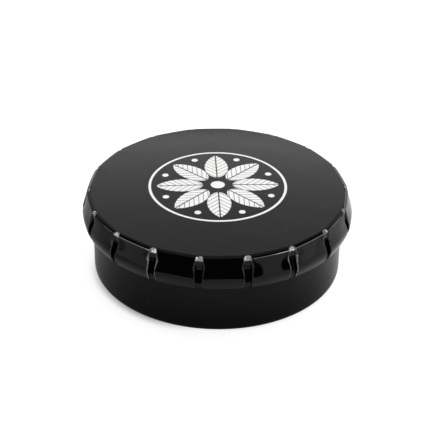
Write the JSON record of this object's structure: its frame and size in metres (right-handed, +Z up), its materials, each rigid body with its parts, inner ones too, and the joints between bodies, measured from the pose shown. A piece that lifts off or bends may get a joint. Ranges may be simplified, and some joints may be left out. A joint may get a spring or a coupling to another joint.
{
  "type": "snap-lid mint tin",
  "caption": "Low round tin with a domed lid crimped over the cup's curled rim; pressing the middle of the lid snaps it through so that the lid lifts off.",
  "frame": {"origin": "centre of the underside, on the surface that the tin stands on", "axes": "+Z up, out of the lid; +X through the middle of one crimp of the lid; the tin is round about Z"},
  "size_m": [0.0504, 0.05, 0.0167],
  "materials": {
    "black_lacquer": "black lacquer on tinplate, satin on the lid's middle and glossy on its edge and skirt",
    "pressed_mint": "chalky white, the look of pressed sugar"
  },
  "bodies": {
    "base": {"cup": "black_lacquer", "mint_01": "pressed_mint", "mint_02": "pressed_mint", "mint_03": "pressed_mint", "mint_04": "pressed_mint", "mint_05": "pressed_mint", "mint_06": "pressed_mint", "mint_07": "pressed_mint", "mint_08": "pressed_mint", "mint_09": "pressed_mint", "mint_10": "pressed_mint", "mint_11": "pressed_mint", "mint_12": "pressed_mint"},
    "lid": {"lid_ring": "black_lacquer"},
    "snap_panel": {"lid_panel": "black_lacquer"}
  },
  "joints": [
    {"name": "lid_lift", "type": "slide", "parent": "base", "child": "lid", "axis": [0, 0, 1], "range_m": [0, 0.03]},
    {"name": "panel_click", "type": "slide", "parent": "lid", "child": "snap_panel", "axis": [0, 0, -1], "range_m": [0, 0.00124]}
  ]
}
